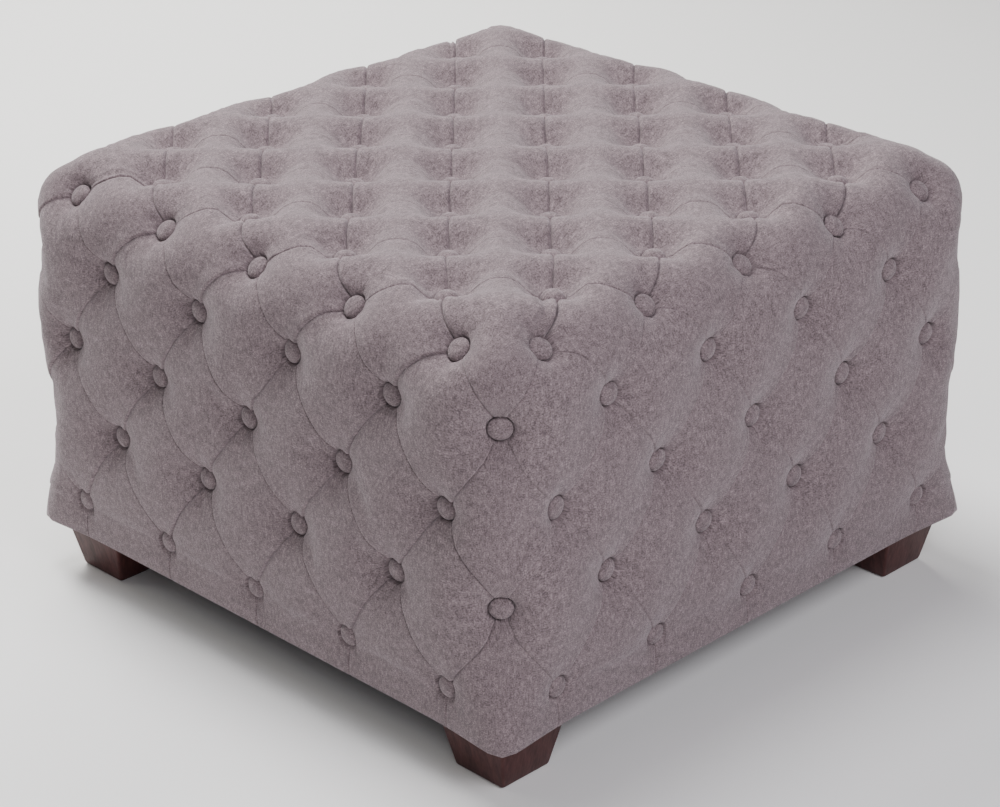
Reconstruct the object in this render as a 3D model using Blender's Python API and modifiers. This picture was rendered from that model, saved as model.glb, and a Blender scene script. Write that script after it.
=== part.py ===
"""Square button-tufted ottoman on four tapered wooden feet.

Metres, +Z up. The origin is on the floor, under the middle of the seat.

The upholstered body is laid out on a lattice of ten bays a side. A lattice place
(u, v, w) lies on a box: u and v run across the seat from 0 to 10, and w counts the
rows of buttons down the sides, from 0 on the shoulder to 5 at the hem. A button sits
on every whole place whose u + v + w is odd, so the folds between neighbouring buttons
run along the lattice's diagonals.
"""
import math
from itertools import product

import bmesh
import bpy
from mathutils import Vector

# ---- lattice ----
BAYS = 10                       # bays along each side of the seat
HEM_ROW = 5                     # w at the hem
STEPS = 4                       # mesh steps in a bay
PITCH = 0.060                   # width of a bay

# ---- body (heights are above the hem) ----
CREST_HALF = 0.318              # from the middle to the pillows of a side
CREST_HEIGHT = 0.369            # pillows of the seat
HEM_HALF = 0.3034               # from the middle to the hem
ROW_HEIGHT = (CREST_HEIGHT, 0.283, 0.203, 0.124, 0.040, 0.0)   # by w, from shoulder to hem
EDGE_RADIUS = 0.069             # shoulders and upright corners
HEM_CORNER_RADIUS = 0.010       # corners of the hem
FLARE_HEIGHT = 0.130            # where the sides have swelled from the hem to the pillows
CORNER_FLARE_HEIGHT = 0.070     # where the corners have rounded off fully

# ---- tufting ----
SIDE_SEAT_HALF = 0.300          # from the middle to the bottom of a side's dimples
EDGE_DIMPLE = 0.018             # depth on the shoulders and upright corners
TOP_DIMPLE = 0.021              # depth on the seat
DIMPLE_REACH = 0.017            # how far the slope of a dimple runs out
DIMPLE_POWER = 1.6              # how soon the slope levels off
SEAT_RADIUS = 0.0128            # flat bottom of a dimple, under its button
FOLD_DEPTH = 0.003              # channel of a fold
HEM_FOLD_DEPTH = 0.0012         # channel of an upright fold where it meets the hem

# ---- buttons ----
BUTTON_RADIUS = 0.01075
BUTTON_BACK_RADIUS = 0.0102
BUTTON_HEIGHT = 0.0060
BUTTON_EDGE_HEIGHT = 0.0018     # where it is widest
BUTTON_DOME_RADIUS = 0.0068     # a point half-way up its dome
BUTTON_DOME_HEIGHT = 0.0049
BUTTON_SIDES = 10
BUTTON_GAP = 0.0003             # from the cover to a button's back
RAISED_INSET = 0.0017           # from a dimple's rim to a button raised in the cover
RAISED_EDGE = 0.0035            # height of its edge; BUTTON_HEIGHT is its crown

# ---- feet ----
FOOT_HEIGHT = 0.0508
FOOT_FROM_MIDDLE = 0.254        # along X and along Y
FOOT_BOTTOM = 0.0556            # width on the floor
FOOT_TAPER = 0.0064             # how much each face leans in, top to bottom
FOOT_BEVEL = 0.0025
FOOT_GAP = 0.0003               # from the foot to the underside

# ---- colours ----
FABRIC_COLOUR = (0.27, 0.23, 0.245, 1.0)
WOOD_COLOUR = (0.060, 0.034, 0.034, 1.0)

OBJECT_NAME = "tufted_ottoman"


def remove_scene_objects():
    """Start from an empty scene."""
    for old in list(bpy.data.objects):
        bpy.data.objects.remove(old, do_unlink=True)


def make_material(name, colour, roughness):
    """Plain Principled material."""
    material = bpy.data.materials.new(name)
    material.use_nodes = True
    shader = material.node_tree.nodes["Principled BSDF"]
    shader.inputs["Base Color"].default_value = colour
    shader.inputs["Roughness"].default_value = roughness
    shader.inputs["Metallic"].default_value = 0.0
    return material


def add_object(name, mesh, material, collection):
    """Link a mesh as a named object with its material."""
    part = bpy.data.objects.new(name, mesh)
    if not mesh.materials:
        mesh.materials.append(material)
    collection.objects.link(part)
    return part


# ---- smooth body, before the buttons pull it in ----

def half_width(height):
    """From the middle to a side: it swells from the hem and levels off."""
    swell = math.sin(math.pi / 2 * min(1.0, height / FLARE_HEIGHT))
    return HEM_HALF + (CREST_HALF - HEM_HALF) * swell


def corner_radius(height):
    """Radius of the upright corners: they round off evenly above the hem."""
    share = min(1.0, height / CORNER_FLARE_HEIGHT)
    return HEM_CORNER_RADIUS + (EDGE_RADIUS - HEM_CORNER_RADIUS) * share


def height_at(w):
    """Height above the hem of a lattice row, in between rows too."""
    row = min(int(w), HEM_ROW - 1)
    return ROW_HEIGHT[row] + (ROW_HEIGHT[row + 1] - ROW_HEIGHT[row]) * (w - row)


def spread(across, half):
    """Lattice place from the middle to metres: the outer bays stretch to the side."""
    inner = BAYS / 2 - 1
    if abs(across) <= inner:
        return across * PITCH
    outer = inner * PITCH + (half - inner * PITCH) * (abs(across) - inner)
    return math.copysign(outer, across)


def clamp(value, limit):
    return max(-limit, min(limit, value))


def smooth_body(place):
    """Point and outward normal of the rounded box at a lattice place."""
    u, v, w = place
    height = height_at(w)
    half = half_width(height)
    radius = corner_radius(height)
    box = Vector((spread(u - BAYS / 2, half), spread(v - BAYS / 2, half), height))
    core = Vector((
        clamp(box.x, half - radius),
        clamp(box.y, half - radius),
        min(box.z, CREST_HEIGHT - EDGE_RADIUS),
    ))
    normal = (box - core).normalized()
    point = core + normal * radius
    point.z += FOOT_HEIGHT
    return point, normal


# ---- tufting ----

def button_places():
    """Lattice places of all the buttons."""
    ends = (0, BAYS)
    places = []
    for u, v, w in product(range(BAYS + 1), range(BAYS + 1), range(HEM_ROW)):
        on_body = w == 0 or u in ends or v in ends
        if on_body and (u + v + w) % 2 == 1:
            places.append((u, v, w))
    return places


def dimple_depth(place):
    """How far a button is pulled in."""
    u, v, w = place
    if w == 0 and 0 < u < BAYS and 0 < v < BAYS:
        return TOP_DIMPLE
    if w == HEM_ROW - 1:
        return half_width(height_at(w)) - SIDE_SEAT_HALF
    return EDGE_DIMPLE


def fold_depth(place):
    """Depth of the fold at a lattice place, 0 where there is none."""
    u, v, w = place
    if w > HEM_ROW - 1:
        along = u if v in (0, BAYS) else v
        hem_share = w - (HEM_ROW - 1)
        depth = FOLD_DEPTH + (HEM_FOLD_DEPTH - FOLD_DEPTH) * hem_share
        return depth if along % 2 == 1 else 0.0
    if w == 0:
        from_corner = min(u, BAYS - u) + min(v, BAYS - v)
        on_fold = (u + v) % 2 == 1 or (u - v) % 2 == 1
        return FOLD_DEPTH if on_fold and from_corner > 1 else 0.0
    along = u if v in (0, BAYS) else v
    on_fold = (along + w) % 2 == 1 or (along - w) % 2 == 1
    return FOLD_DEPTH if on_fold else 0.0


def dimple_share(distance):
    """Share of a dimple's depth at a distance from its button."""
    beyond = max(0.0, distance - SEAT_RADIUS)
    return math.exp(-((beyond / DIMPLE_REACH) ** DIMPLE_POWER))


def lattice_box():
    """Open-bottomed box in lattice places, cut in steps and split along the folds."""
    mesh = bmesh.new()
    bmesh.ops.create_cube(mesh, size=1.0)
    floor = [face for face in mesh.faces if face.normal.z < -0.5]
    bmesh.ops.delete(mesh, geom=floor, context="FACES_ONLY")
    for vert in mesh.verts:
        vert.co.x = (vert.co.x + 0.5) * BAYS
        vert.co.y = (vert.co.y + 0.5) * BAYS
        vert.co.z = (0.5 - vert.co.z) * HEM_ROW
    for axis, length in enumerate((BAYS, BAYS, HEM_ROW)):
        normal = Vector([1.0 if axis == other else 0.0 for other in range(3)])
        for step in range(1, length * STEPS):
            everything = mesh.verts[:] + mesh.edges[:] + mesh.faces[:]
            bmesh.ops.bisect_plane(
                mesh, geom=everything, plane_co=normal * step / STEPS, plane_no=normal)
    for face in list(mesh.faces):
        ends = [v for v in face.verts if round(sum(v.co) * STEPS) % 2 == 0]
        bmesh.utils.face_split(face, ends[0], ends[1])
    return mesh


def draw_in(mesh, places):
    """Move the lattice box onto the tufted body."""
    lattice = {vert: tuple(vert.co) for vert in mesh.verts}
    smooth = {vert: smooth_body(place) for vert, place in lattice.items()}
    buttons = [(smooth_body(place)[0], dimple_depth(place)) for place in places]
    for vert, (point, normal) in smooth.items():
        depth = fold_depth(lattice[vert])
        if lattice[vert][2] < HEM_ROW:
            depth += sum(full * dimple_share((point - at).length) for at, full in buttons)
        vert.co = point - normal * depth
    return lattice, smooth


def flatten_seats(lattice, smooth, places):
    """Give each button a flat bed, and return its middle vert by lattice place."""
    middles = {}
    by_place = {tuple(round(c, 3) for c in place): vert for vert, place in lattice.items()}
    for place in places:
        middle = by_place[tuple(float(c) for c in place)]
        point, normal = smooth[middle]
        bed = point - normal * dimple_depth(place)
        middle.co = bed
        for edge in middle.link_edges:
            rim = edge.other_vert(middle)
            outward = smooth[rim][0] - point
            outward -= normal * outward.dot(normal)
            rim.co = bed + outward.normalized() * SEAT_RADIUS
        middles[place] = middle
    return middles


def raise_button(mesh, middle, normal):
    """Raise a domed button from the faces of a bed."""
    faces = list(middle.link_faces)
    bmesh.ops.inset_region(
        mesh, faces=faces, thickness=RAISED_INSET, depth=RAISED_EDGE, use_even_offset=True)
    middle.co += normal * (BUTTON_HEIGHT - RAISED_EDGE)


def close_underside(mesh):
    """Fan the open hem to a flat underside."""
    hem = [edge for edge in mesh.edges if edge.is_boundary]
    filled = bmesh.ops.edgeloop_fill(mesh, edges=hem)
    bmesh.ops.poke(mesh, faces=filled["faces"])


def add_cover(places, loose_places, material, collection):
    """Upholstered body: pillows, dimples, folds and the buttons raised in it."""
    mesh = lattice_box()
    lattice, smooth = draw_in(mesh, places)
    middles = flatten_seats(lattice, smooth, places)
    for place, middle in middles.items():
        if place not in loose_places:
            raise_button(mesh, middle, smooth[middle][1])
    close_underside(mesh)
    bmesh.ops.recalc_face_normals(mesh, faces=mesh.faces[:])
    data = bpy.data.meshes.new("cover")
    mesh.to_mesh(data)
    mesh.free()
    data.shade_smooth()
    return add_object("cover", data, material, collection)


# ---- separate buttons ----

def loose_button_places(places):
    """Buttons that are pieces of their own: those of the seat and the upright corners."""
    seat = [p for p in places if p[2] == 0 and 0 < p[0] < BAYS and 0 < p[1] < BAYS]
    corner = [p for p in places if p[0] in (0, BAYS) and p[1] in (0, BAYS)]
    return seat, corner


def button_profile():
    """Half outline of a covered button, from the crown down and in along its back."""
    outline = (
        (0.0, BUTTON_HEIGHT),
        (BUTTON_DOME_RADIUS, BUTTON_DOME_HEIGHT),
        (BUTTON_RADIUS, BUTTON_EDGE_HEIGHT),
        (BUTTON_BACK_RADIUS, 0.0),
        (0.0, 0.0),
    )
    edges = [(i, i + 1) for i in range(len(outline) - 1)]
    data = bpy.data.meshes.new("button_profile")
    data.from_pydata([(x, 0.0, z) for x, z in outline], edges, [])
    return data


def add_button(name, profile, place, material, collection):
    """Turned button, set on the bed of its dimple."""
    button = add_object(name, profile, material, collection)
    turn = button.modifiers.new("turn", "SCREW")
    turn.steps = BUTTON_SIDES
    turn.render_steps = BUTTON_SIDES
    turn.use_merge_vertices = True
    turn.merge_threshold = 0.00005
    point, normal = smooth_body(place)
    button.location = point - normal * (dimple_depth(place) - BUTTON_GAP)
    button.rotation_mode = "QUATERNION"
    button.rotation_quaternion = normal.to_track_quat("Z", "Y")
    return button


def add_buttons(seat, corner, material, collection):
    """All the separate buttons."""
    profile = button_profile()
    for number, place in enumerate(seat, start=1):
        add_button(f"button_seat_{number:02d}", profile, place, material, collection)
    for number, place in enumerate(corner, start=1):
        add_button(f"button_corner_{number}", profile, place, material, collection)


# ---- feet ----

def add_foot(name, side_x, side_y, material, collection):
    """Block that tapers on all four faces towards the floor."""
    mesh = bmesh.new()
    bmesh.ops.create_cube(mesh, size=1.0)
    top = FOOT_HEIGHT - FOOT_GAP
    for vert in mesh.verts:
        is_top = vert.co.z > 0
        width = FOOT_BOTTOM + (2 * FOOT_TAPER if is_top else 0.0)
        vert.co = (vert.co.x * width, vert.co.y * width, top if is_top else 0.0)
    data = bpy.data.meshes.new(name)
    mesh.to_mesh(data)
    mesh.free()
    foot = add_object(name, data, material, collection)
    foot.location = (side_x * FOOT_FROM_MIDDLE, side_y * FOOT_FROM_MIDDLE, 0.0)
    edges = foot.modifiers.new("edges", "BEVEL")
    edges.width = FOOT_BEVEL
    edges.segments = 2
    return foot


def add_feet(material, collection):
    """One foot under each corner. The front is -Y and the right is +X."""
    for name, side_x, side_y in (
        ("foot_front_left", -1, -1),
        ("foot_front_right", 1, -1),
        ("foot_back_left", -1, 1),
        ("foot_back_right", 1, 1),
    ):
        add_foot(name, side_x, side_y, material, collection)


def main():
    remove_scene_objects()
    collection = bpy.data.collections.new(OBJECT_NAME)
    bpy.context.scene.collection.children.link(collection)
    fabric = make_material("cover_fabric", FABRIC_COLOUR, 0.92)
    button_fabric = make_material("button_fabric", FABRIC_COLOUR, 0.92)
    wood = make_material("foot_wood", WOOD_COLOUR, 0.45)
    places = button_places()
    seat, corner = loose_button_places(places)
    add_cover(places, set(seat + corner), fabric, collection)
    add_buttons(seat, corner, button_fabric, collection)
    add_feet(wood, collection)


main()
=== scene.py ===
"""Square button-tufted ottoman on four tapered wooden feet. Metres, +Z up, front is -Y.

The cover is laid out on a lattice of ten bays a side. A lattice place (u, v, w) lies on a
box: u and v run across the seat from 0 to 10, and w counts the rows of buttons down the
sides, from 0 on the shoulder to 5 at the hem. Above the hem, a button sits on every whole
place whose u + v + w is odd, and a pillow swells at every other one.
"""

import math
from itertools import product

import bpy
import numpy as np
from mathutils import Matrix, Vector
from mathutils.kdtree import KDTree


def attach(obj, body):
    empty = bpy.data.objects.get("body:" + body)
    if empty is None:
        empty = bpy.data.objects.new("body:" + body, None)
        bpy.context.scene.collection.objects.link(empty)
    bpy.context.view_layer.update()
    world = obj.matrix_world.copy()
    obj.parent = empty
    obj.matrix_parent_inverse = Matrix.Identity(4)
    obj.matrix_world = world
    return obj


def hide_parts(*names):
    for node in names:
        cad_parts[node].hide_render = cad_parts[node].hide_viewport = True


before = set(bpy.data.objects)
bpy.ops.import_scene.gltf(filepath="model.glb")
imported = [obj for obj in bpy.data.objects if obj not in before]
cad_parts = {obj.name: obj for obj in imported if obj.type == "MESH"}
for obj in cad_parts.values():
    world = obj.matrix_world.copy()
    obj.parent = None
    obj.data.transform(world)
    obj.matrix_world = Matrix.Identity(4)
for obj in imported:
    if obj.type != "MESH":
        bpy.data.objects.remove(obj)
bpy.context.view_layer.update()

# ---- lattice and body, as the solids have them ----
BAYS = 10  # bays along each side of the seat
HEM_ROW = 5  # w at the hem
PITCH = 0.060
CREST_HALF = 0.318  # from the middle to the pillows of a side
CREST_HEIGHT = 0.369
HEM_HALF = 0.3034  # from the middle to the hem
ROW_HEIGHT = (CREST_HEIGHT, 0.283, 0.203, 0.124, 0.040, 0.0)  # by w, above the hem
EDGE_RADIUS = 0.069  # shoulders and upright corners
FLARE_HEIGHT = 0.130  # where the sides have swelled out fully
CORNER_FLARE_HEIGHT = 0.070  # where the corners have rounded off fully
SIDE_SEAT_HALF = 0.300  # from the middle to the bottom of row 4's dimples
FOOT_HEIGHT = 0.0508

# ---- dimples: most are a little deeper than the solids' ones ----
TOP_DIMPLE = 0.024
EDGE_DIMPLE = 0.0192
SHOULDER_EXTRA = 0.001  # the row on the shoulder is this much deeper
BED_RADIUS = 0.0113  # flat bed under a button
RIM_RADIUS = 0.0119  # where the cloth stands up round a button
RIM_HEIGHT = 0.0036
# wall and reach are how far the steep and the wide part of a dimple run, hollow is the wide
# part's share of the depth, skew lengthens it one way, and star runs it out along the folds;
# bays are the distances between buttons, across and up
SEAT_PIT = {
    "wall": 0.0165,
    "power": 1.75,
    "hollow": 0.11,
    "reach": 0.045,
    "skew": -0.04,
    "star": -0.13,
    "bays": (PITCH, PITCH),
    "rim": RIM_HEIGHT,
}
SIDE_PIT = {
    "wall": 0.0118,
    "power": 1.08,
    "hollow": 0.19,
    "reach": 0.040,
    "skew": 0.24,
    "star": 0.04,
    "bays": (PITCH, 0.078),
    "rim": RIM_HEIGHT * 1.35,
}
DIMPLE_END = 0.14  # beyond this a dimple adds nothing
STAR_FROM = 0.012  # skew and star set in about this far from the button
STEER_FROM = 0.0125  # this near a button the cloth is drawn in straight along it
STEER_REACH = 0.012
PUCKER = 0.00024  # height of the small gathers round a button
SHOULDER_PUCKER = 2.2  # how much higher they are on the shoulders
PUCKER_COUNTS = (7, 11, 16)  # gathers round a button, in three overlaid sets
PUCKER_START = 0.002  # how soon they rise past the rim, and how far out they fade and end
PUCKER_REACH = 0.011
PUCKER_END = 0.045

# ---- pillows ----
CROWN = 0.0008  # a pillow's middle above its folds
SWELL = 0.0009  # how unlike each other the pillows are
UNEVEN = 0.0008  # height and length of the cloth's waves
UNEVEN_WAVE = 0.11
DRIFT = 0.0009  # the same, for waves along the cloth
DRIFT_WAVE = 0.07
RELIEF_FADE = 0.7  # rows above the hem in which the relief fades out

# ---- folds ----
SLIT_DEPTH = 0.0024
SLIT_HALF = 0.0006
SLIT_POWER = 1.2
SLIT_SPREAD = (0.8, 1.8)  # a strong fold's slit is wider, within these
FOLD_RANGE = (0.75, 1.15)  # how unlike each other the folds are
SEAT_FOLD = 1.65  # how marked the seat's folds are that run as its diagonal from front right
SEAT_CROSS_FOLD = 0.14  # the seat's other folds
SIDE_FOLD = 1.35  # the sides' folds that run down to the left
SIDE_CROSS_FOLD = 1.0  # the sides' other folds
RIGHT_SIDE_FOLD = 0.6  # the side that faces +X is smoother
FAINT_SHOULDER_FOLD = 0.3  # just below the front left and the back right corner
EDGE_CROSS_FOLD = 4.0  # how much more marked the cross folds are by the seat's edge
EDGE_BAYS = 1.6  # how many bays in that goes
FOLD_MIDDLE = 0.7  # a fold on the sides, half-way between buttons, against its ends
CORNER_PLAIN = 1.2  # bays from the seat's corners within which it has no fold
HEM_FOLD = 0.75  # the upright folds at row 4, and how much they lose down to the hem
HEM_FOLD_LOSS = 0.35
# folds with a second groove beside them, and how far off it runs
GROOVES = {
    (8.5, 0.5, 0.0): 0.0041,
    (9.5, 1.5, 0.0): 0.0113,
    (0.5, 8.5, 0.0): 0.0041,
    (1.5, 0.5, 0.0): 0.0074,
    (8.5, 9.5, 0.0): 0.0113,
}
GROOVE_FOLD = 2.3  # how marked such a fold is
GROOVE_DEPTH = 0.0030
GROOVE_SPREAD = 0.3  # a groove further off is wider
LIP = 0.0009  # the upper side of a fold laps over the lower one
LIP_REACH = 0.008
LIP_FULL = 0.3  # how steeply a pillow lies above its fold where the lap is full
CROSS_LIP = 0.5  # lap of the cross folds, against the others

# ---- cloth simulation on a coarse copy, and how its push is carried over ----
COARSE = (0, 1, 2, 4, 7, 9, 13)  # levels of the cover mesh that the copy has
SIM_FRAMES = 20
CLOTH_PRESSURE = 4.0
CLOTH_SPARE = 0.02  # how much larger the cloth is than the shape it starts from
FOLD_HOLD = 0.7
HELD_BEYOND = 0.003  # the cloth is held fast this far beyond a button's rim
PUSH_CAP = 0.0016
PUSH_NEIGHBOURS = 9  # points of the copy that a point of the cover takes its push from
PUSH_SPREAD = 0.0055  # distance at which they count for much less
PUSH_FADE = 0.8  # rows above the hem in which the push fades out

# ---- cover mesh: cell sizes from a fold to the middle of a pillow, in millimetres ----
CELLS = (0.4, 0.6, 1.0, 2.1, 3.3, 3.9, 0.6, 1.0, 2.8, 4.7, 6.6, 7.6, 7.8)
ROUND_TO = 0.016  # the mesh runs in circles this far round a button, and squarer beyond
SQUARE_FROM = 0.034

# ---- buttons ----
BUTTON_RADIUS = 0.0101
BUTTON_HEIGHT = 0.0060
SEAT_BUTTON_HEIGHT = 0.0086
BUTTON_EDGE_HEIGHT = 0.0018
BUTTON_BACK = ((0.0, 0.0), (0.0087, 0.0), (0.0097, 0.0007))  # radius and height
BUTTON_DOME = (0.97, 0.92, 0.84, 0.72, 0.56, 0.38, 0.2)  # shares of the radius
DOME_FLAT = 2.6  # powers that shape the dome: how flat its top is, and how steep its edge
DOME_STEEP = 0.62
BUTTON_GAP = 0.0003
BUTTON_TURNS = 28
BUTTON_SETTLE = 0.0003  # how unevenly the buttons are pulled in, and tilted in radians
BUTTON_TILT = 0.05
BUTTON_CLOTH_STEP = (0.013, 0.0071)  # each button shows another place of the cloth

# ---- hem and underside ----
# shares of the way from row 4 to the hem
HEM_STEPS = (0.0, 0.05, 0.12, 0.2, 0.3, 0.42, 0.55, 0.68, 0.8, 0.9, 0.955, 0.98, 1.0)
HEM_TURN = 0.002  # radius of the hem's edge
HEM_CORNER_RADIUS = 0.007
CORNER_FLARE = 0.0055  # how far the hem stands out at the corners
CORNER_FLARE_RISE = 0.038  # how far up that runs, in metres, and along, in bays
CORNER_FLARE_BAYS = 0.75
UNDER_TURN = 0.024  # how far the cloth is turned under
LINING_INSET = 0.0006  # where the lining starts, inside and above the turned edge
LINING_LIFT = 0.0004

# ---- lie of the cloth ----
CLOTH_DROP = (0.0, 0.071, 0.151, 0.230, 0.314, 0.354)  # metres down the cloth, by row
SIDE_CLOTH_FROM = 20  # bays along the cloth at which the sides that face X start

# ---- feet ----
FOOT_FROM_MIDDLE = 0.254  # along X and along Y
FOOT_BOTTOM = 0.0556
FOOT_TOP = 0.0768  # they taper more than the solids' ones
FOOT_GAP = 0.0003
FOOT_EDGE = 0.0028  # radius of the upright and the lower edges
FOOT_ROUNDING = ((0.0, -1.0), (0.12, -0.55), (0.45, -0.15), (1.0, 0.0))  # up and in, in radii
FOOT_CUTS = (0.016, 0.033)  # heights of two rings between the rounding and the top
FOOT_CORNER_STEPS = 4
FOOT_CORNER_DRAW = 0.4  # how much the upright edges tighten in the rounding
FOOT_SHARP_ANGLE = 50  # degrees

# ---- colours ----
CLOTH_DARK = (0.103, 0.077, 0.084, 1.0)
CLOTH_LIGHT = (0.347, 0.272, 0.290, 1.0)
CLOTH_SHEEN = (0.86, 0.80, 0.84, 1.0)
WOOD_DARK = (0.024, 0.0076, 0.0074, 1.0)
WOOD_LIGHT = (0.098, 0.033, 0.031, 1.0)
LINING_DARK = (0.02, 0.019, 0.02, 1.0)
LINING_LIGHT = (0.05, 0.047, 0.05, 1.0)
FLOOR_COLOUR = (0.93, 0.93, 0.93, 1.0)
WEAVE = 0.0017  # one thread up and one down

# ---- floor and lights ----
FLOOR_HALF = 30.0
LIGHT_TARGET = (0.0, 0.0, 0.25)
LIGHT_DISTANCE = 3.0
LIGHT_SIZE = 1.3

TINY = 1e-6  # slack when lattice places are compared
SEED = 11
random = np.random.default_rng(SEED)


# ---- smooth body ----


def eased(share):
    """Smooth the ends of a share that runs from 0 to 1."""
    return share**2 * (3 - 2 * share)


def spread(across, half):
    """Lattice place from the middle to metres: the outer bays stretch to the side."""
    inner = BAYS / 2 - 1
    outer = inner * PITCH + (half - inner * PITCH) * (np.abs(across) - inner)
    return np.where(np.abs(across) <= inner, across * PITCH, np.sign(across) * outer)


def half_width(height):
    """From the middle to a side: it swells from the hem and levels off."""
    swell = np.sin(np.pi / 2 * np.minimum(1.0, height / FLARE_HEIGHT))
    return HEM_HALF + (CREST_HALF - HEM_HALF) * swell


def row_height(w):
    """Height above the hem of a lattice row, in between rows too."""
    return np.interp(w, range(HEM_ROW + 1), ROW_HEIGHT)


def smooth_body(places):
    """Points and outward normals of the rounded box at lattice places, one to a row."""
    u, v, w = places.T
    height = row_height(w)
    half = half_width(height)
    rounded = np.minimum(1.0, height / CORNER_FLARE_HEIGHT)
    radius = HEM_CORNER_RADIUS + (EDGE_RADIUS - HEM_CORNER_RADIUS) * rounded
    x, y = spread(u - BAYS / 2, half), spread(v - BAYS / 2, half)
    box = np.stack((x, y, height), axis=1)
    core = np.stack(
        (
            np.clip(x, radius - half, half - radius),
            np.clip(y, radius - half, half - radius),
            np.minimum(height, CREST_HEIGHT - EDGE_RADIUS),
        ),
        axis=1,
    )
    normal = box - core
    normal /= np.linalg.norm(normal, axis=1, keepdims=True)
    point = core + normal * radius[:, None]
    point[:, 2] += FOOT_HEIGHT
    return point, normal


def button_places():
    """Lattice places of all the buttons."""
    ends = (0, BAYS)
    return [
        (u, v, w)
        for u, v, w in product(range(BAYS + 1), range(BAYS + 1), range(HEM_ROW))
        if (w == 0 or u in ends or v in ends) and (u + v + w) % 2 == 1
    ]


def is_on_seat(place):
    return place[2] == 0 and all(0 < c < BAYS for c in place[:2])


def is_on_corner(place):
    return all(c in (0, BAYS) for c in place[:2])


def dimple_depth(place):
    """How far a button is pulled in."""
    w = place[2]
    if is_on_seat(place):
        return TOP_DIMPLE
    if w == HEM_ROW - 1:
        return float(half_width(row_height(w))) - SIDE_SEAT_HALF
    return EDGE_DIMPLE + (SHOULDER_EXTRA if w == 0 else 0.0)


# ---- cover mesh ----


def lattice_squares():
    """Middles of the lattice's unit squares on the seat and, above row 4, on the sides."""
    squares = [(u + 0.5, v + 0.5, 0.0) for u in range(BAYS) for v in range(BAYS)]
    for a, w, end in product(range(BAYS), range(HEM_ROW - 1), (0.0, float(BAYS))):
        squares.append((a + 0.5, end, w + 0.5))
        squares.append((end, a + 0.5, w + 0.5))
    return squares


def square_edges(square):
    """The four lattice edges round a unit square, each as (pillow place, button place)."""
    axes = [i for i in range(3) if square[i] % 1]
    corners = []
    for da, db in ((-0.5, -0.5), (0.5, -0.5), (0.5, 0.5), (-0.5, 0.5)):
        corner = list(square)
        corner[axes[0]] += da
        corner[axes[1]] += db
        corners.append(tuple(corner))
    for one, two in zip(corners, corners[1:] + corners[:1]):
        yield (one, two) if sum(one) % 2 == 0 else (two, one)


def grades():
    """Shares of the way from a pillow's middle (0) to its fold (1)."""
    cells = np.array(CELLS[::-1])
    return np.concatenate(([0.0], np.cumsum(cells) / cells.sum()))


def round_off(places, button, at_button, t):
    """How much to draw lattice places towards their button, so that rows run round it."""
    smooth = smooth_body(places.reshape(-1, 3))[0].reshape(places.shape)
    distance = np.linalg.norm(smooth - at_button[:, None], axis=2)
    wanted = (1 - t)[None, :] * PITCH * math.sqrt(0.5)
    square = eased(np.clip((wanted - ROUND_TO) / (SQUARE_FROM - ROUND_TO), 0.0, 1.0))
    drawn = wanted / np.maximum(distance, 1e-9)
    return np.where(distance > 0, drawn * (1 - square) + square, 1.0)


def half_patch_faces(levels, index):
    """Faces of a half patch between those levels: triangles where s is t, and quads."""
    faces = []
    for i, next_i in zip(levels, levels[1:]):
        for j, next_j in zip(levels, levels[1:]):
            if j <= i:
                face = [index[i, j], index[next_i, j], index[next_i, next_j]]
                faces.append(face + [index[i, next_j]] if j < i else face)
    return faces


def tufted_grid():
    """The tufted part of the cover, in half patches, with a coarse choice of its faces.

    A half patch is the triangle between a pillow's middle, a unit square's middle and a
    button. s is the share of the way to the fold, and t of the way to the button.
    """
    steps = grades()
    pairs = [(i, j) for i in range(len(steps)) for j in range(i + 1)]
    index = {pair: n for n, pair in enumerate(pairs)}
    s = steps[[i for i, j in pairs]]
    t = steps[[j for i, j in pairs]]
    patch_faces = half_patch_faces(range(len(steps)), index)
    coarse_faces = half_patch_faces(COARSE, index)
    ends = [(e, b, m) for m in lattice_squares() for e, b in square_edges(m)]
    pillow, button, middle = (np.array(column, float) for column in zip(*ends))
    places = (
        pillow[:, None]
        + (s - t)[None, :, None] * (middle - pillow)[:, None]
        + t[None, :, None] * (button - pillow)[:, None]
    )
    at_pillow, at_button, at_middle = (smooth_body(x)[0] for x in (pillow, button, middle))
    turned = np.cross(at_middle - at_pillow, at_button - at_pillow)
    outward = np.sum(turned * smooth_body(middle)[1], axis=1) > 0
    faces, coarse = [], []
    for patch, outside in enumerate(outward):
        for group, out in ((patch_faces, faces), (coarse_faces, coarse)):
            for face in group:
                face = [patch * len(s) + n for n in face]
                out.append(face if outside else face[::-1])
    along = at_button - at_middle
    along /= np.linalg.norm(along, axis=1, keepdims=True)
    off = at_pillow - at_middle
    off -= along * np.sum(off * along, axis=1, keepdims=True)
    reach = np.linalg.norm(off, axis=1)
    each = len(s)
    squeeze = round_off(places, button, at_button, t)
    places = button[:, None] + (places - button[:, None]) * squeeze[..., None]
    return {
        "place": places.reshape(-1, 3),
        "faces": faces,
        "coarse": coarse,
        "s": np.tile(s, len(ends)),
        "t": np.tile(t, len(ends)),
        "pillow": np.repeat(pillow, each, axis=0),
        "middle": np.repeat(middle, each, axis=0),
        "run": np.repeat(button - middle, each, axis=0),
        "fold_gap": (reach[:, None] * (1 - s)[None, :] * squeeze).reshape(-1),
        "away": np.repeat(off / reach[:, None], each, axis=0),
    }


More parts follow.
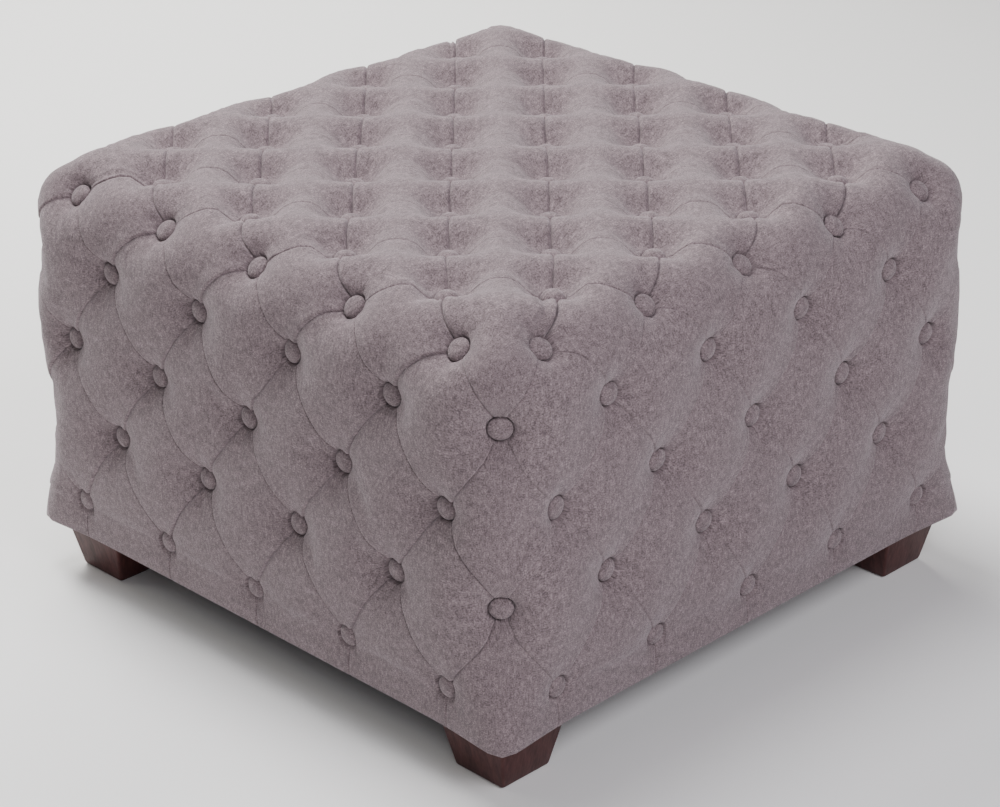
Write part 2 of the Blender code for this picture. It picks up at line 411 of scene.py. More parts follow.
def hem_column(along):
    """Where a column of the hem strip starts on row 4, drawn towards its button."""
    button = np.array([[2.0 * min(along // 2, BAYS // 2 - 1) + 1, 0.0, HEM_ROW - 1.0]])
    place = np.array([[[along, 0.0, HEM_ROW - 1.0]]])
    off = abs(along - button[0, 0])
    squeeze = round_off(place, button, smooth_body(button)[0], np.array([1 - off]))[0, 0]
    return button[0, 0] + (along - button[0, 0]) * squeeze


def hem_grid():
    """The plain strip between row 4 and the hem, as columns that match the patches."""
    steps = grades()
    two_bays = np.concatenate([steps, (2.0 - steps)[::-1][1:]])
    run = np.concatenate([two_bays[:-1] + 2 * k for k in range(BAYS // 2)] + [[float(BAYS)]])
    run = np.array([hem_column(a) for a in run])
    down = HEM_ROW - 1 + np.array(HEM_STEPS)
    sides = []
    # the axis that a side runs along, the one across it, and where it lies on that one
    for along, fixed, end in ((0, 1, 0.0), (1, 0, BAYS), (0, 1, BAYS), (1, 0, 0.0)):
        grid = np.zeros((len(run), len(down), 3))
        grid[..., along] = (run if (fixed == 1) == (end == 0.0) else BAYS - run)[:, None]
        grid[..., fixed] = end
        grid[..., 2] = down
        sides.append(grid.reshape(-1, 3))
    rows = len(down)
    faces = []
    for side in range(4):
        for i in range(len(run) - 1):
            for j in range(rows - 1):
                a = (side * len(run) + i) * rows + j
                faces.append([a, a + 1, a + rows + 1, a + rows])
    return np.concatenate(sides), faces


def weld(places, *face_lists):
    """Merge equal lattice places. Returns the first row of each, and the lists of faces."""
    keys = np.round(places * 1e5).astype(np.int64)
    _, first, inverse = np.unique(keys, axis=0, return_index=True, return_inverse=True)
    inverse = inverse.reshape(-1)
    return first, *([[int(inverse[n]) for n in face] for face in faces] for faces in face_lists)


def ripple(points, wavelength, generator, waves=12):
    """Smooth seeded noise of about that wavelength, mostly within -1 to 1."""
    total = np.zeros(len(points))
    for _ in range(waves):
        direction = generator.normal(size=3)
        size = np.linalg.norm(direction)
        direction *= 2 * np.pi / wavelength * generator.uniform(0.7, 1.4) / size
        total += np.sin(points @ direction + generator.uniform(0, 2 * np.pi))
    return total / math.sqrt(waves)


def dimple_sum(points, buttons):
    """Depth of all the dimples, the nearest one's share, and the near buttons' directions.

    A direction is weighted by how near its button is, and the weight is the fourth number.
    """
    total = np.zeros(len(points))
    nearest = np.zeros(len(points))
    facing = np.zeros((len(points), 4))
    for button in buttons:
        offset = points - button["at"]
        distance = np.linalg.norm(offset, axis=1)
        near = distance < DIMPLE_END
        offset, distance = offset[near], distance[near]
        pit = button["pit"]
        across = offset @ button["across"] / pit["bays"][0]
        up = offset @ button["up"] / pit["bays"][1]
        angle = np.arctan2(up, across)
        clear = 1 - np.exp(-((distance / STAR_FROM) ** 2))
        star = 1 - pit["star"] * np.cos(4 * angle) * clear
        skew = 1 + pit["skew"] * np.sin(2 * angle) * clear
        beyond = np.maximum(0.0, distance - RIM_RADIUS)
        reach = pit["wall"] * star * (0.5 + 0.5 * skew)
        wall = np.exp(-((beyond / reach) ** pit["power"]))
        hollow = np.exp(-((beyond / (pit["reach"] * skew)) ** 2))
        bed = np.clip((RIM_RADIUS - distance) / (RIM_RADIUS - BED_RADIUS), 0.0, 1.0)
        total[near] += button["wall"] * wall + button["hollow"] * hollow + pit["rim"] * bed
        nearest[near] = np.maximum(nearest[near], wall)
        close = np.exp(-((np.maximum(0.0, distance - STEER_FROM) / STEER_REACH) ** 2))
        facing[near] += close[:, None] * np.append(button["normal"], 1.0)
    return total, nearest, facing


def puckers(points, buttons, generator):
    """Small gathers that fan out from each button, most of all from those on the shoulder."""
    total = np.zeros(len(points))
    for button in buttons:
        offset = points - button["at"]
        distance = np.linalg.norm(offset, axis=1)
        near = (distance < PUCKER_END) & (distance > RIM_RADIUS)
        angle = np.arctan2(offset[near] @ button["up"], offset[near] @ button["across"])
        wave = np.zeros(near.sum())
        for count in PUCKER_COUNTS:
            share = generator.uniform(0.3, 1.0)
            wave += share * np.sin(count * angle + generator.uniform(0, 2 * np.pi))
        beyond = distance[near] - RIM_RADIUS
        set_in = 1 - np.exp(-((beyond / PUCKER_START) ** 2))
        fade = np.exp(-((beyond / PUCKER_REACH) ** 2)) * set_in
        total[near] += button["pucker"] * fade * wave
    return total


def button_frames():
    """Where each button sits on the smooth body, its depth and the lattice directions."""
    places = button_places()
    points, normals = smooth_body(np.array(places, float))
    rows = []
    for place, at, normal in zip(places, points, normals):
        on_seat = is_on_seat(place)
        up = np.array((0.0, 1.0, 0.0) if on_seat else (0.0, 0.0, 1.0))
        up -= normal * (up @ normal)
        up /= np.linalg.norm(up)
        pit = SEAT_PIT if on_seat else SIDE_PIT
        depth = dimple_depth(place)
        rows.append(
            {
                "place": place,
                "at": at,
                "normal": normal,
                "depth": depth,
                "up": up,
                "across": np.cross(up, normal),
                "pit": {**pit, "skew": 0.0} if is_on_corner(place) else pit,
                "hollow": pit["hollow"] * depth,
                "pucker": PUCKER * (SHOULDER_PUCKER if place[2] == 0 and not on_seat else 1.0),
            }
        )
    for row in rows:
        row["wall"] = row["depth"] - row["hollow"] - row["pit"]["rim"]
    beds, _, _ = dimple_sum(points, rows)
    for row, bed in zip(rows, beds):
        row["wall"] -= bed - row["depth"]
    return rows


def hem_round(height):
    """How far the hem draws in where it turns under."""
    left = np.clip(HEM_TURN - height, 0.0, HEM_TURN)
    return HEM_TURN - np.sqrt(HEM_TURN**2 - left**2)


def shape_cover(grid, buttons):
    """Where the points of the cover lie."""
    places = grid["place"]
    point, normal = smooth_body(places)
    depth, nearest, facing = dimple_sum(point, buttons)
    inward = normal * (1 - np.minimum(facing[:, 3:], 1.0)) + facing[:, :3]
    inward /= np.linalg.norm(inward, axis=1, keepdims=True)
    above_hem = np.clip((HEM_ROW - places[:, 2]) / RELIEF_FADE, 0.0, 1.0)
    depth *= eased(above_hem)

    s, t, gap = grid["s"], grid["t"], grid["fold_gap"]
    crown = CROWN * ((1 - s**2) * (1 - t**2)) ** 2
    strength = grid["strength"]
    half = SLIT_HALF * np.clip(strength, *SLIT_SPREAD)
    slit = SLIT_DEPTH * np.exp(-((gap / half) ** SLIT_POWER)) * strength
    rise = np.exp(-gap / LIP_REACH) - np.exp(-gap / (0.5 * SLIT_HALF))
    lip = LIP * rise * grid["lap"]
    beside = grid["groove"]
    width = GROOVE_SPREAD * beside + SLIT_HALF
    slit += GROOVE_DEPTH * np.exp(-(((gap - beside) / width) ** 2)) * (beside > 0)
    swell = grid["swell"] * ((1 - s**2) * (1 - t**2)) ** 2
    loose = (1 - nearest) * above_hem
    uneven = UNEVEN * ripple(point, UNEVEN_WAVE, random) * loose
    uneven += puckers(point, buttons, random) * above_hem

    height = point[:, 2] - FOOT_HEIGHT
    from_end = np.minimum(places[:, :2], BAYS - places[:, :2]).max(axis=1)
    spared = (height / CORNER_FLARE_RISE) ** 2 + (from_end / CORNER_FLARE_BAYS) ** 2
    point = point + normal * (CORNER_FLARE * np.exp(-spared))[:, None]
    drawn = point + normal * (crown + swell + uneven + lip - slit)[:, None]
    drawn -= inward * depth[:, None]
    drawn -= normal * hem_round(height)[:, None]
    drift = np.stack([ripple(point, DRIFT_WAVE, random) for _ in range(3)], axis=1) * DRIFT
    drift -= normal * np.sum(drift * normal, axis=1, keepdims=True)
    return drawn + drift * loose[:, None]


def folds(grid, generator):
    """Strength, lap and second groove of each point's fold, and the swell of its pillow."""
    middle, away, run = grid["middle"], grid["away"], grid["run"]
    keys = np.round(middle * 2).astype(int)
    uniques, inverse = np.unique(keys, axis=0, return_inverse=True)
    inverse = inverse.reshape(-1)
    strength = generator.uniform(*FOLD_RANGE, len(uniques))[inverse]
    on_seat = middle[:, 2] == 0
    one_way = run[:, 0] * run[:, 1] < 0
    on_front = np.minimum(middle[:, 1], BAYS - middle[:, 1]) < TINY
    turned = np.where(
        on_front, run[:, 0] * (BAYS / 2 - middle[:, 1]), run[:, 1] * (middle[:, 0] - BAYS / 2)
    )
    left_down = turned * run[:, 2] < 0
    strength *= np.where(
        on_seat,
        np.where(one_way, SEAT_FOLD, SEAT_CROSS_FOLD),
        np.where(left_down, SIDE_FOLD, SIDE_CROSS_FOLD),
    )
    strength[~on_seat & ~on_front & (middle[:, 0] > BAYS / 2)] *= RIGHT_SIDE_FOLD
    first_row = ~on_seat & (middle[:, 2] < 1)
    for at in ((0, 0), (BAYS, BAYS)):
        by_corner = np.abs(middle[:, :2] - at).sum(axis=1) < 1
        strength[first_row & by_corner] *= FAINT_SHOULDER_FOLD
    outer = np.abs(middle[:, :2] - BAYS / 2).max(axis=1) > BAYS / 2 - EDGE_BAYS
    strength *= np.where(on_seat & ~one_way & outer, EDGE_CROSS_FOLD, 1.0)
    to_button = grid["t"] ** 2
    strength *= np.where(on_seat, 1.0, FOLD_MIDDLE + (1 - FOLD_MIDDLE) * to_button)
    from_corner = np.minimum(middle[:, 0], BAYS - middle[:, 0]) + np.minimum(
        middle[:, 1], BAYS - middle[:, 1]
    )
    strength[on_seat & (from_corner < CORNER_PLAIN)] = 0.0
    upward = np.where(on_seat, 0.0, away[:, 2])
    lap = np.clip(upward / LIP_FULL, -1, 1) * np.where(left_down, 1.0, CROSS_LIP)
    groove = np.zeros(len(lap))
    for at, gap in GROOVES.items():
        here = np.all(np.abs(middle - at) < TINY, axis=1)
        strength[here] = GROOVE_FOLD
        groove[here & (away[:, 0] < 0)] = gap
    pillows, which = np.unique(np.round(grid["pillow"]).astype(int), axis=0, return_inverse=True)
    swell = generator.normal(0, SWELL, len(pillows))[which.reshape(-1)]
    return strength, lap, swell, groove


def join_grids():
    """The tufted patches and the hem strip as one grid, welded along row 4."""
    top = tufted_grid()
    top["strength"], top["lap"], top["swell"], top["groove"] = folds(top, random)
    hem_places, hem_faces = hem_grid()
    size = len(hem_places)
    run = np.where(
        (hem_places[:, 1] == 0) | (hem_places[:, 1] == BAYS), hem_places[:, 0], hem_places[:, 1]
    )
    odd = 2 * np.floor(run / 2) + 1
    down = hem_places[:, 2] - (HEM_ROW - 1)
    grid = {
        "place": np.concatenate([top["place"], hem_places]),
        "s": np.concatenate([top["s"], np.ones(size)]),
        "t": np.concatenate([top["t"], np.ones(size)]),
        "fold_gap": np.concatenate([top["fold_gap"], np.abs(run - odd) * PITCH]),
        "strength": np.concatenate([top["strength"], HEM_FOLD - HEM_FOLD_LOSS * down]),
        "lap": np.concatenate([top["lap"], np.zeros(size)]),
        "swell": np.concatenate([top["swell"], np.zeros(size)]),
        "groove": np.concatenate([top["groove"], np.zeros(size)]),
    }
    offset = len(top["place"])
    faces = top["faces"] + [[offset + n for n in face] for face in hem_faces]
    first, faces, coarse = weld(grid["place"], faces, top["coarse"])
    return {key: value[first] for key, value in grid.items()}, faces, coarse


def relaxed(points, grid, coarse_faces, buttons):
    """How far the padding pushes the cloth out, by cloth simulation on a coarse copy.

    The copy is held fast at the buttons, and loosely along the folds and row 4, where it ends.
    """
    used = np.unique([n for face in coarse_faces for n in face])
    place_in = {int(n): k for k, n in enumerate(used)}
    start = points[used]
    mesh = bpy.data.meshes.new("coarse_cover")
    mesh.from_pydata(start.tolist(), [], [[place_in[n] for n in face] for face in coarse_faces])
    copy = bpy.data.objects.new("coarse_cover", mesh)
    bpy.context.scene.collection.objects.link(copy)
    nearest = np.full(len(start), np.inf)
    for button in buttons:
        bed = button["at"] - button["normal"] * button["depth"]
        nearest = np.minimum(nearest, np.linalg.norm(start - bed, axis=1))
    low = grid["place"][used, 2] > HEM_ROW - 1 - TINY
    hold = np.where((grid["s"][used] > 1 - TINY) | low, FOLD_HOLD, 0.0)
    hold = np.where(nearest < RIM_RADIUS + HELD_BEYOND, 1.0, hold)
    group = copy.vertex_groups.new(name="hold")
    for weight in np.unique(hold):
        group.add(np.nonzero(hold == weight)[0].tolist(), float(weight), "REPLACE")
    cloth = copy.modifiers.new("cloth", "CLOTH")
    settings = cloth.settings
    settings.quality = 4
    settings.mass = 0.3
    settings.tension_stiffness = settings.compression_stiffness = 12
    settings.shear_stiffness = 4
    settings.bending_stiffness = 0.3
    settings.air_damping = 2
    settings.vertex_group_mass = "hold"
    settings.pin_stiffness = 1.0
    settings.shrink_min = -CLOTH_SPARE
    settings.use_pressure = True
    settings.uniform_pressure_force = CLOTH_PRESSURE
    settings.effector_weights.gravity = 0.0
    cloth.collision_settings.use_collision = False
    scene = bpy.context.scene
    cloth.point_cache.frame_start, cloth.point_cache.frame_end = 1, SIM_FRAMES
    for number in range(1, SIM_FRAMES + 1):
        scene.frame_set(number)
    shaped = copy.evaluated_get(bpy.context.evaluated_depsgraph_get()).to_mesh()
    end = np.zeros(len(start) * 3)
    shaped.vertices.foreach_get("co", end)
    push = end.reshape(-1, 3) - start
    bpy.data.objects.remove(copy)
    bpy.data.meshes.remove(mesh)
    scene.frame_set(1)
    size = np.linalg.norm(push, axis=1)
    push *= np.minimum(1.0, PUSH_CAP / np.maximum(size, 1e-9))[:, None]
    tree = KDTree(len(start))
    for k, at in enumerate(start):
        tree.insert(at, k)
    tree.balance()
    out = np.zeros_like(points)
    for n, at in enumerate(points):
        found = tree.find_n(at, PUSH_NEIGHBOURS)
        weight = np.exp([-((distance / PUSH_SPREAD) ** 2) for _, _, distance in found]) + 1e-9
        out[n] = weight @ push[[k for _, k, _ in found]] / weight.sum()
    fade = np.clip((HEM_ROW - grid["place"][:, 2]) / PUSH_FADE, 0.0, 1.0)
    return out * eased(fade)[:, None]


def set_uv(mesh, places):
    """Lay the cloth's threads: along the edges of the seat, and upright on the sides."""
    u, v, w = places.T
    drop = 1.0 - np.interp(w, range(HEM_ROW + 1), CLOTH_DROP)
    seat = np.stack((u, v), axis=1) * PITCH
    front = np.stack((u * PITCH, drop), axis=1)
    side = np.stack(((v + SIDE_CLOTH_FROM) * PITCH, drop), axis=1)
    layer = mesh.uv_layers.new(name="cloth")
    loops = np.zeros(len(mesh.loops), np.int32)
    mesh.loops.foreach_get("vertex_index", loops)
    starts = np.zeros(len(mesh.polygons), np.int32)
    totals = np.zeros(len(mesh.polygons), np.int32)
    mesh.polygons.foreach_get("loop_start", starts)
    mesh.polygons.foreach_get("loop_total", totals)
    order = np.argsort(starts)
    face_of = np.repeat(order, totals[order])
    deepest = np.zeros(len(mesh.polygons))
    np.maximum.at(deepest, face_of, w[loops])
    from_end = np.zeros(len(mesh.polygons))
    np.maximum.at(from_end, face_of, np.minimum(v, BAYS - v)[loops])
    on_seat = (deepest[face_of] < TINY)[:, None]
    on_front = (from_end[face_of] < TINY)[:, None]
    values = np.where(on_seat, seat[loops], np.where(on_front, front[loops], side[loops]))
    layer.data.foreach_set("uv", values.astype(np.float32).reshape(-1))


def hem_loop(faces, places):
    """The points of the hem in order round the body."""
    nexts = {}
    for face in faces:
        for a, b in zip(face, face[1:] + face[:1]):
            if min(places[a, 2], places[b, 2]) > HEM_ROW - TINY:
                nexts[a] = b
    start = next(iter(nexts))
    loop = [start]
    while nexts[loop[-1]] != start:
        loop.append(nexts[loop[-1]])
    return loop


def add_cover(buttons, material, lining):
    """The padded cover: pillows, dimples, folds, and a hem turned under."""
    grid, faces, coarse = join_grids()
    points = shape_cover(grid, buttons)
    points += relaxed(points, grid, coarse, buttons)
    places = grid["place"]
    loop = hem_loop(faces, places)
    rings = [loop]
    for inset, lift in ((UNDER_TURN, 0.0), (UNDER_TURN + LINING_INSET, LINING_LIFT)):
        ring = points[loop].copy()
        limit = HEM_HALF - inset
        ring[:, :2] = np.clip(ring[:, :2], -limit, limit)
        ring[:, 2] = FOOT_HEIGHT + lift
        rings.append(list(range(len(points), len(points) + len(ring))))
        points = np.concatenate([points, ring])
        places = np.concatenate([places, places[loop]])
    under = []
    for outer, inner in zip(rings, rings[1:]):
        for i in range(len(outer)):
            k = (i + 1) % len(outer)
            under.append([outer[k], outer[i], inner[i], inner[k]])
    base = rings[-1][::-1]
    mesh = bpy.data.meshes.new("cover_cloth")
    mesh.from_pydata(points.tolist(), [], faces + under + [base])
    mesh.validate()
    mesh.shade_smooth()
    mesh.materials.append(material)
    mesh.materials.append(lining)
    mesh.polygons[len(mesh.polygons) - 1].material_index = 1
    set_uv(mesh, places)
    cover = bpy.data.objects.new("cover_cloth", mesh)
    bpy.context.scene.collection.objects.link(cover)
    return cover


# ---- buttons ----


def button_outline(height):
    """Half outline of a covered button, from its back to its crown."""
    dome = height - BUTTON_EDGE_HEIGHT
    outline = [*BUTTON_BACK, (BUTTON_RADIUS, BUTTON_EDGE_HEIGHT)]
    for share in BUTTON_DOME:
        up = BUTTON_EDGE_HEIGHT + dome * (1 - share**DOME_FLAT) ** DOME_STEEP
        outline.append((BUTTON_RADIUS * share, up))
    return [*outline, (0.0, height)]


def add_buttons(name, buttons, height, material):
    """A set of covered buttons, each set into its dimple with a slight tilt."""
    outline = button_outline(height)
    turns = BUTTON_TURNS
    points, faces, uvs = [], [], []
    for button in buttons:
        normal = Vector(button["normal"])
        settle = random.normal(0, BUTTON_SETTLE)
        at = Vector(button["at"]) - normal * (button["depth"] - BUTTON_GAP + settle)
        tilt_x = Matrix.Rotation(random.normal(0, BUTTON_TILT), 3, "X")
        tilt_y = Matrix.Rotation(random.normal(0, BUTTON_TILT), 3, "Y")
        turn = normal.to_track_quat("Z", "Y").to_matrix() @ (tilt_x @ tilt_y)
        spin = random.uniform(0, 2 * math.pi)
        base = len(points)
        starts = []
        for radius, up in outline:
            starts.append(len(points))
            for k in range(turns if radius else 1):
                angle = 2 * math.pi * k / turns + spin
                local = Vector((radius * math.cos(angle), radius * math.sin(angle), up))
                points.append(at + turn @ local)
                flat = (radius * math.cos(angle - spin), radius * math.sin(angle - spin))
                uvs.append([f + base * step for f, step in zip(flat, BUTTON_CLOTH_STEP)])
        for level in range(len(outline) - 1):
            low, high = starts[level], starts[level + 1]
            for k in range(turns):
                n = (k + 1) % turns
                if level == 0:
                    faces.append((low, high + n, high + k))
                elif level == len(outline) - 2:
                    faces.append((low + k, low + n, high))
                else:
                    faces.append((low + k, low + n, high + n, high + k))
    mesh = bpy.data.meshes.new(name)
    mesh.from_pydata(points, [], faces)
    mesh.shade_smooth()
    mesh.materials.append(material)
    layer = mesh.uv_layers.new(name="cloth")
    for loop, item in zip(mesh.loops, layer.data):
        item.uv = uvs[loop.vertex_index]
    piece = bpy.data.objects.new(name, mesh)
    bpy.context.scene.collection.objects.link(piece)
    return piece


# ---- feet ----


def add_foot(name, side_x, side_y, material):
    """A tapered wooden foot with rounded edges."""
    top = FOOT_HEIGHT - FOOT_GAP
    profile = [(up * FOOT_EDGE, inset * FOOT_EDGE) for up, inset in FOOT_ROUNDING]
    profile += [(up, 0.0) for up in (*FOOT_CUTS, top)]
    corner = np.linspace(0, np.pi / 2, FOOT_CORNER_STEPS + 1)
    rings = []
    for height, inset in profile:
        half = (FOOT_BOTTOM + (FOOT_TOP - FOOT_BOTTOM) * height / top) / 2 + inset
        radius = FOOT_EDGE + inset * FOOT_CORNER_DRAW
        ring = []
        for quarter, (x, y) in enumerate(((1, 1), (-1, 1), (-1, -1), (1, -1))):
            for angle in corner + quarter * np.pi / 2:
                across = x * (half - radius) + radius * np.cos(angle)
                along = y * (half - radius) + radius * np.sin(angle)
                ring.append((across, along, height))
        rings.append(ring)
    each = len(rings[0])
    faces = []
    for level in range(len(rings) - 1):
        for k in range(each):
            a, b = level * each + k, level * each + (k + 1) % each
            faces.append((a, b, b + each, a + each))
    faces.append(tuple(range(each))[::-1])
    faces.append(tuple((len(rings) - 1) * each + k for k in range(each)))
    mesh = bpy.data.meshes.new(name)
    mesh.from_pydata([p for ring in rings for p in ring], [], faces)
    mesh.shade_smooth()
    mesh.set_sharp_from_angle(angle=math.radians(FOOT_SHARP_ANGLE))
    mesh.materials.append(material)
    foot = bpy.data.objects.new(name, mesh)
    foot.location = (side_x * FOOT_FROM_MIDDLE, side_y * FOOT_FROM_MIDDLE, 0.0)
    bpy.context.scene.collection.objects.link(foot)
    return foot


# ---- materials ----


class Nodes:
    """Adds nodes to a new material around its Principled shader."""

    def __init__(self, name):
        self.material = bpy.data.materials.new(name)
        self.material.use_nodes = True
        self.tree = self.material.node_tree
        self.shader = self.tree.nodes["Principled BSDF"]

    def add(self, kind, inputs=None, **settings):
        node = self.tree.nodes.new(kind)
        for key, value in settings.items():
            setattr(node, key, value)
        for key, value in (inputs or {}).items():
            self.set(node.inputs[key], value)
        return node

    def set(self, socket, value):
        if isinstance(value, bpy.types.NodeSocket):
            self.tree.links.new(value, socket)
        else:
            socket.default_value = value

    def math(self, operation, one, two=0.0, three=0.0):
        node = self.add("ShaderNodeMath", operation=operation)
        for socket, value in zip(node.inputs, (one, two, three)):
            self.set(socket, value)
        return node.outputs[0]

    def scaled(self, vector, scale):
        node = self.add("ShaderNodeMapping", {"Vector": vector, "Scale": scale})
        return node.outputs[0]

    def noise(self, vector, scale, detail=2.0, roughness=0.5, distortion=0.0):
        node = self.add(
            "ShaderNodeTexNoise",
            {
                "Vector": vector,
                "Scale": scale,
                "Detail": detail,
                "Roughness": roughness,
                "Distortion": distortion,
            },
        )
        return node.outputs[0]

    def range(self, value, low, high, new_low, new_high):
        node = self.add("ShaderNodeMapRange")
        for socket, item in zip(node.inputs, (value, low, high, new_low, new_high)):
            self.set(socket, item)
        return node.outputs[0]

    def colour(self, share, dark, light):
        """Base colour between two colours."""
        node = self.add("ShaderNodeMix", data_type="RGBA")
        self.set(node.inputs[0], share)
        self.set(node.inputs[6], dark)
        self.set(node.inputs[7], light)
        self.set(self.shader.inputs["Base Color"], node.outputs[2])

    def roughness(self, value, **limits):
        self.set(self.shader.inputs["Roughness"], self.range(value, **limits))

    def bump(self, height, strength, distance):
        inputs = {"Strength": strength, "Distance": distance, "Height": height}
        self.set(self.shader.inputs["Normal"], self.add("ShaderNodeBump", inputs).outputs[0])


def heathered_cloth(name):
    """Plain-woven melange upholstery cloth: yarns of uneven grey, with faint slubs."""
    n = Nodes(name)
    uv = n.add("ShaderNodeUVMap", uv_map="cloth").outputs[0]
    warp = n.noise(n.scaled(uv, (1.0, 0.25, 1.0)), scale=900.0, detail=2.0, roughness=0.6)
    weft = n.noise(n.scaled(uv, (0.35, 1.0, 1.0)), scale=900.0, detail=2.0, roughness=0.6)
    bend = n.math("MULTIPLY", n.noise(uv, scale=60.0, detail=1.0), 9.0)
    parts = n.add("ShaderNodeSeparateXYZ", {0: uv})
    wave_x, wave_y = (
        n.math("SINE", n.math("MULTIPLY_ADD", along, 2 * math.pi / WEAVE, bend))
        for along in parts.outputs[:2]
    )
    over = n.math("MULTIPLY", wave_x, wave_y)
    on_top = n.range(over, low=-0.45, high=0.45, new_low=0.0, new_high=1.0)
    yarn = n.add("ShaderNodeMix", data_type="FLOAT")
    n.set(yarn.inputs[0], on_top)
    n.set(yarn.inputs[2], weft)
    n.set(yarn.inputs[3], warp)
    fleck = n.noise(uv, scale=760.0, detail=1.0)
    slub = n.noise(n.scaled(uv, (1.0, 0.5, 1.0)), scale=430.0, detail=0.0)
    blotch = n.noise(n.scaled(uv, (1.0, 0.7, 1.0)), scale=210.0, detail=0.0)
    patch = n.noise(uv, scale=80.0, detail=1.0)
    value = n.math("MULTIPLY", fleck, 0.38)
    for layer, weight in ((yarn.outputs[0], 0.30), (slub, 0.13), (blotch, 0.10), (patch, 0.08)):
        value = n.math("MULTIPLY_ADD", layer, weight, value)
    share = n.range(value, low=0.375, high=0.635, new_low=0.0, new_high=1.0)
    n.colour(n.math("POWER", share, 1.35), CLOTH_DARK, CLOTH_LIGHT)
    n.roughness(value, low=0.3, high=0.7, new_low=0.98, new_high=0.86)
    n.shader.inputs["Specular IOR Level"].default_value = 0.25
    n.shader.inputs["Sheen Weight"].default_value = 0.35
    n.shader.inputs["Sheen Roughness"].default_value = 0.45
    n.shader.inputs["Sheen Tint"].default_value = CLOTH_SHEEN
    height = n.math("MULTIPLY_ADD", n.math("ABSOLUTE", over), 0.5, value)
    n.bump(height, strength=0.55, distance=0.0005)
    return n.material


def dark_wood(name):
    """Stained wood with upright grain and a satin finish."""
    n = Nodes(name)
    where = n.add("ShaderNodeTexCoord").outputs["Object"]
    fine = n.scaled(where, (1.0, 1.0, 0.07))
    coarse = n.scaled(where, (1.0, 1.0, 0.12))
    grain = n.noise(fine, scale=420.0, detail=4.0, roughness=0.62, distortion=0.4)
    broad = n.noise(coarse, scale=70.0, detail=2.0, roughness=0.5, distortion=0.6)
    value = n.math("MULTIPLY_ADD", grain, 0.6, n.math("MULTIPLY", broad, 0.4))
    share = n.range(value, low=0.28, high=0.74, new_low=0.0, new_high=1.0)
    n.colour(share, WOOD_DARK, WOOD_LIGHT)
    n.roughness(value, low=0.3, high=0.7, new_low=0.58, new_high=0.44)
    n.shader.inputs["Specular IOR Level"].default_value = 0.22
    n.shader.inputs["Coat Weight"].default_value = 0.04
    n.shader.inputs["Coat Roughness"].default_value = 0.3
    n.bump(value, strength=0.25, distance=0.0004)
    return n.material


def plain_lining(name):
    """Thin non-woven lining under the body."""
    n = Nodes(name)
    where = n.add("ShaderNodeTexCoord").outputs["Object"]
    web = n.noise(where, scale=700.0, detail=3.0, roughness=0.7)
    n.colour(web, LINING_DARK, LINING_LIGHT)
    n.shader.inputs["Roughness"].default_value = 0.9
    n.bump(web, strength=0.3, distance=0.0003)
    return n.material


# ---- the object ----


def nodes_named(start):
    """The frame's nodes whose names start so, in order."""
    return sorted(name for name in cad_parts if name.startswith(start))


buttons = button_frames()
cloth = heathered_cloth("cover_cloth")
button_cloth = heathered_cloth("button_cloth")
wood = dark_wood("foot_wood")
lining = plain_lining("underside_lining")

cover = add_cover(buttons, cloth, lining)
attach(cover, "root")
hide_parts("cover")

seat = [b for b in buttons if is_on_seat(b["place"])]
corner = [b for b in buttons if is_on_corner(b["place"])]
side = [b for b in buttons if b not in seat and b not in corner]
for name, group, height, nodes in (
    ("buttons_seat", seat, SEAT_BUTTON_HEIGHT, nodes_named("button_seat_")),
    ("buttons_corner", corner, BUTTON_HEIGHT, nodes_named("button_corner_")),
    ("buttons_side", side, BUTTON_HEIGHT, []),
):
    piece = add_buttons(name, group, height, button_cloth)
    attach(piece, "root")
    if nodes:
        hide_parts(*nodes)

for node, side_x, side_y in (
    ("foot_front_left", -1, -1),
    ("foot_front_right", 1, -1),
    ("foot_back_left", -1, 1),
    ("foot_back_right", 1, 1),
):
    foot = add_foot(f"{node}_wood", side_x, side_y, wood)
    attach(foot, "root")
    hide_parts(node)

# ---- floor, light and camera ----


def add_floor():
    """A pale floor. Far from the lights it glows a little, so that it stays pale to its edge."""
    mesh = bpy.data.meshes.new("floor")
    corners = ((-1, -1), (1, -1), (1, 1), (-1, 1))
    mesh.from_pydata([(x * FLOOR_HALF, y * FLOOR_HALF, 0) for x, y in corners], [], [(0, 1, 2, 3)])
    floor = bpy.data.objects.new("floor", mesh)
    bpy.context.scene.collection.objects.link(floor)
    n = Nodes("floor")
    n.shader.inputs["Base Color"].default_value = FLOOR_COLOUR
    n.shader.inputs["Roughness"].default_value = 0.9
    n.shader.inputs["Emission Color"].default_value = (1.0, 1.0, 1.0, 1.0)
    where = n.add("ShaderNodeTexCoord").outputs["Object"]
    away = n.add("ShaderNodeVectorMath", {0: where}, operation="LENGTH").outputs["Value"]
    glow = n.range(away, low=2.4, high=7.0, new_low=0.0, new_high=0.65)
    n.set(n.shader.inputs["Emission Strength"], glow)
    mesh.materials.append(n.material)


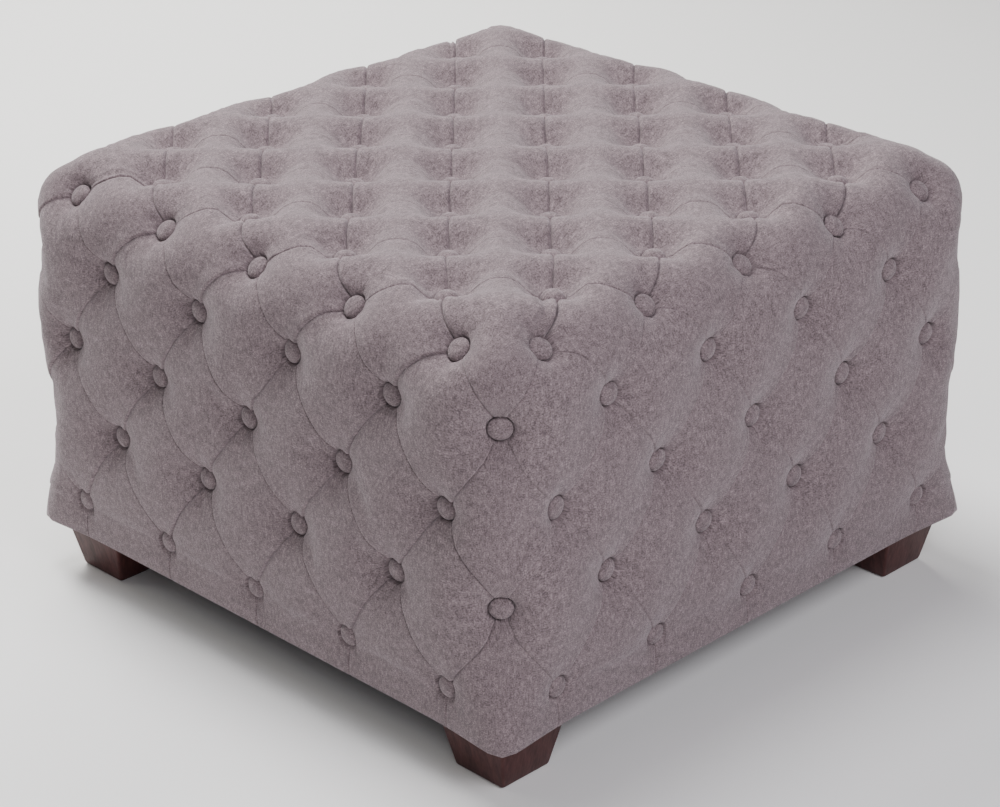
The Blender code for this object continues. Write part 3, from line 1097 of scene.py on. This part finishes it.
def add_light(name, azimuth, elevation, power, colour):
    """A round soft box that points at the object. Azimuth runs from +X towards +Y."""
    a, e = math.radians(azimuth), math.radians(elevation)
    toward = Vector((math.cos(a) * math.cos(e), math.sin(a) * math.cos(e), math.sin(e)))
    light = bpy.data.lights.new(name, "AREA")
    light.shape = "DISK"
    light.size = LIGHT_SIZE
    light.energy = power
    light.color = colour
    lamp = bpy.data.objects.new(name, light)
    lamp.location = Vector(LIGHT_TARGET) + toward * LIGHT_DISTANCE
    lamp.rotation_mode = "QUATERNION"
    lamp.rotation_quaternion = (-toward).to_track_quat("-Z", "Y")
    bpy.context.scene.collection.objects.link(lamp)


def add_world(colour, strength):
    world = bpy.data.worlds.new("studio")
    world.use_nodes = True
    background = world.node_tree.nodes["Background"]
    background.inputs[0].default_value = (*colour, 1.0)
    background.inputs[1].default_value = strength
    bpy.context.scene.world = world


def add_camera(azimuth, elevation, roll, distance, aim, lens):
    """A camera rolled about its own axis. Azimuth runs from -Y towards +X."""
    a, e, r = (math.radians(x) for x in (azimuth, elevation, roll))
    back = Vector((math.sin(a) * math.cos(e), -math.cos(a) * math.cos(e), math.sin(e)))
    right = Vector((0, 0, 1)).cross(back).normalized()
    up = back.cross(right)
    right, up = right * math.cos(r) + up * math.sin(r), up * math.cos(r) - right * math.sin(r)
    data = bpy.data.cameras.new("camera")
    data.lens = lens
    data.sensor_width = 36.0
    data.clip_start = 0.1
    camera = bpy.data.objects.new("camera", data)
    camera.rotation_mode = "QUATERNION"
    camera.rotation_quaternion = Matrix((right, up, back)).transposed().to_quaternion()
    camera.location = Vector(aim) + back * distance
    bpy.context.scene.collection.objects.link(camera)
    bpy.context.scene.camera = camera


add_floor()
add_world(colour=(1.0, 1.0, 1.0), strength=0.02)
for name, azimuth, elevation, power, colour in (
    ("top", 200, 80, 58, (0.985, 0.975, 0.99)),
    ("left", 180, 50, 92, (1.0, 0.99, 0.96)),
    ("left_back", 150, 25, 42, (1.0, 0.975, 0.92)),
    ("left_front", 215, 35, 12, (1.0, 0.99, 0.88)),
    ("right_front", 315, 30, 15.5, (0.98, 0.97, 1.0)),
    ("right", 0, 30, 17, (0.98, 0.95, 1.0)),
    ("right_high", 345, 42, 32, (0.98, 0.96, 1.0)),
):
    add_light(name, azimuth, elevation, power, colour)
add_camera(
    azimuth=45.14,
    elevation=25.14,
    roll=-0.365,
    distance=2.609,
    aim=(-0.00074, -0.00074, 0.1658),
    lens=100.96,
)
